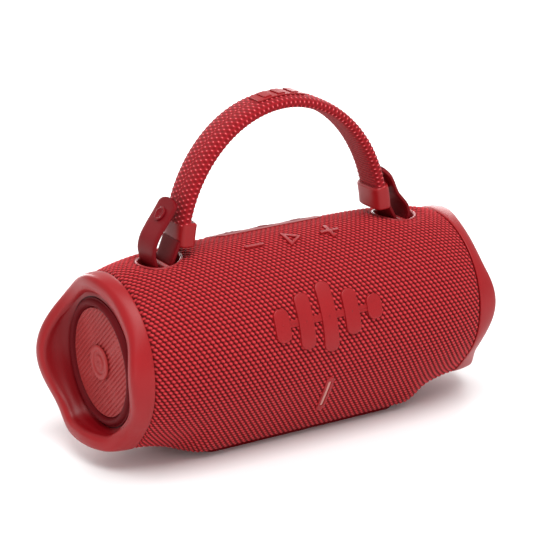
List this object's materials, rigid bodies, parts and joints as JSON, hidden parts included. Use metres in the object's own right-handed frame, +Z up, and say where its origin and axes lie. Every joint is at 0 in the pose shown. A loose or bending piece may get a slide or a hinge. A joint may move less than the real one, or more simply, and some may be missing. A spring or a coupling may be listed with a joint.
{
  "type": "portable speaker",
  "caption": "Portable barrel loudspeaker in knitted fabric with rubber end caps, open end radiators, raised top controls and an upright carry strap.",
  "frame": {"origin": "middle of the flat underside of the rubber foot", "axes": "+X along the barrel, -Y is the front with the emblem, +Z up"},
  "size_m": [0.2294, 0.0957, 0.1693],
  "materials": {
    "knit": "coarse knit stretched over the housing",
    "webbing": "woven polyester webbing",
    "soft_red": "smooth matt moulded rubber",
    "red_plastic": "smooth matt plastic",
    "dark_plastic": "fine texture",
    "black_rubber": "matt",
    "red_rubber": "smooth matt",
    "steel": "bright",
    "aluminium": "satin",
    "board": "solder mask",
    "paper": "coated paper fibre",
    "copper": "enamelled copper winding",
    "battery": "wrapped cells, dense as a light metal",
    "lens": "milky light guide"
  },
  "bodies": {
    "barrel": {"fabric_cover": "knit", "end_cap_left": "soft_red", "end_cap_right": "soft_red", "front_emblem": "soft_red", "status_light_bezel": "soft_red", "eyelet_cup_left": "red_plastic", "eyelet_cup_right": "red_plastic", "anchor_bar_left": "red_plastic", "anchor_bar_right": "red_plastic", "housing_front_shell": "dark_plastic", "housing_rear_shell": "dark_plastic", "radiator_frame_left": "dark_plastic", "radiator_frame_right": "dark_plastic", "tweeter_housing": "dark_plastic", "usb_port_tongue": "dark_plastic", "radiator_surround_left": "black_rubber", "radiator_surround_right": "black_rubber", "woofer_surround": "black_rubber", "base_foot": "red_rubber", "rear_control_strip": "red_rubber", "port_panel": "red_rubber", "woofer_frame": "steel", "woofer_magnet": "steel", "woofer_screw_1": "steel", "woofer_screw_2": "steel", "woofer_screw_3": "steel", "woofer_screw_4": "steel", "tweeter_magnet": "steel", "usb_port_shell": "steel", "shield_can": "aluminium", "button_board_top": "board", "button_board_rear": "board", "main_board": "board", "battery_pack": "battery", "status_light_lens": "lens"},
    "strap": {"strap_webbing": "webbing", "strap_emblem": "soft_red", "strap_ferrule_left": "soft_red", "strap_ferrule_right": "soft_red", "strap_loop_left": "red_rubber", "strap_loop_right": "red_rubber", "strap_stud_left": "soft_red", "strap_stud_right": "soft_red"},
    "left_radiator": {"radiator_diaphragm_left": "red_plastic", "radiator_emblem_left": "red_plastic", "radiator_weight_left": "steel"},
    "right_radiator": {"radiator_diaphragm_right": "red_plastic", "radiator_emblem_right": "red_plastic", "radiator_weight_right": "steel"},
    "woofer_moving": {"woofer_cone": "paper", "woofer_dust_cap": "paper", "woofer_voice_coil": "copper"},
    "tweeter_moving": {"tweeter_dome": "aluminium"},
    "volume_down": {"button_volume_down": "soft_red"},
    "play": {"button_play": "soft_red"},
    "volume_up": {"button_volume_up": "soft_red"},
    "link": {"button_link": "red_rubber"},
    "power": {"button_power": "red_rubber"},
    "pairing": {"button_pairing": "red_rubber"}
  },
  "joints": [
    {"name": "strap_swing", "type": "hinge", "parent": "barrel", "child": "strap", "pos_m": [0, 0, 0.0955], "axis": [1, 0, 0], "range_deg": [-25, 25], "deforming": ["strap_loop_left", "strap_loop_right"]},
    {"name": "left_radiator_stroke", "type": "slide", "parent": "barrel", "child": "left_radiator", "axis": [-1, 0, 0], "range_m": [-0.003, 0.002], "stiffness_N_per_m": 900, "deforming": ["radiator_surround_left"]},
    {"name": "right_radiator_stroke", "type": "slide", "parent": "barrel", "child": "right_radiator", "axis": [1, 0, 0], "range_m": [-0.003, 0.002], "stiffness_N_per_m": 900, "deforming": ["radiator_surround_right"]},
    {"name": "woofer_stroke", "type": "slide", "parent": "barrel", "child": "woofer_moving", "axis": [0, -1, 0], "range_m": [-0.0015, 0.0025], "stiffness_N_per_m": 1200, "deforming": ["woofer_surround"]},
    {"name": "tweeter_stroke", "type": "slide", "parent": "barrel", "child": "tweeter_moving", "axis": [0, -1, 0], "range_m": [-0.0001, 0.0003], "stiffness_N_per_m": 1500},
    {"name": "volume_down_press", "type": "slide", "parent": "barrel", "child": "volume_down", "axis": [0, 0.2419, -0.9703], "range_m": [0, 0.0006], "stiffness_N_per_m": 900},
    {"name": "play_press", "type": "slide", "parent": "barrel", "child": "play", "axis": [0, 0.2419, -0.9703], "range_m": [0, 0.0006], "stiffness_N_per_m": 900},
    {"name": "volume_up_press", "type": "slide", "parent": "barrel", "child": "volume_up", "axis": [0, 0.2419, -0.9703], "range_m": [0, 0.0006], "stiffness_N_per_m": 900},
    {"name": "link_press", "type": "slide", "parent": "barrel", "child": "link", "axis": [0, -0.342, -0.9397], "range_m": [0, 0.0008], "stiffness_N_per_m": 900},
    {"name": "power_press", "type": "slide", "parent": "barrel", "child": "power", "axis": [0, -0.342, -0.9397], "range_m": [0, 0.0008], "stiffness_N_per_m": 900},
    {"name": "pairing_press", "type": "slide", "parent": "barrel", "child": "pairing", "axis": [0, -0.342, -0.9397], "range_m": [0, 0.0008], "stiffness_N_per_m": 900}
  ]
}
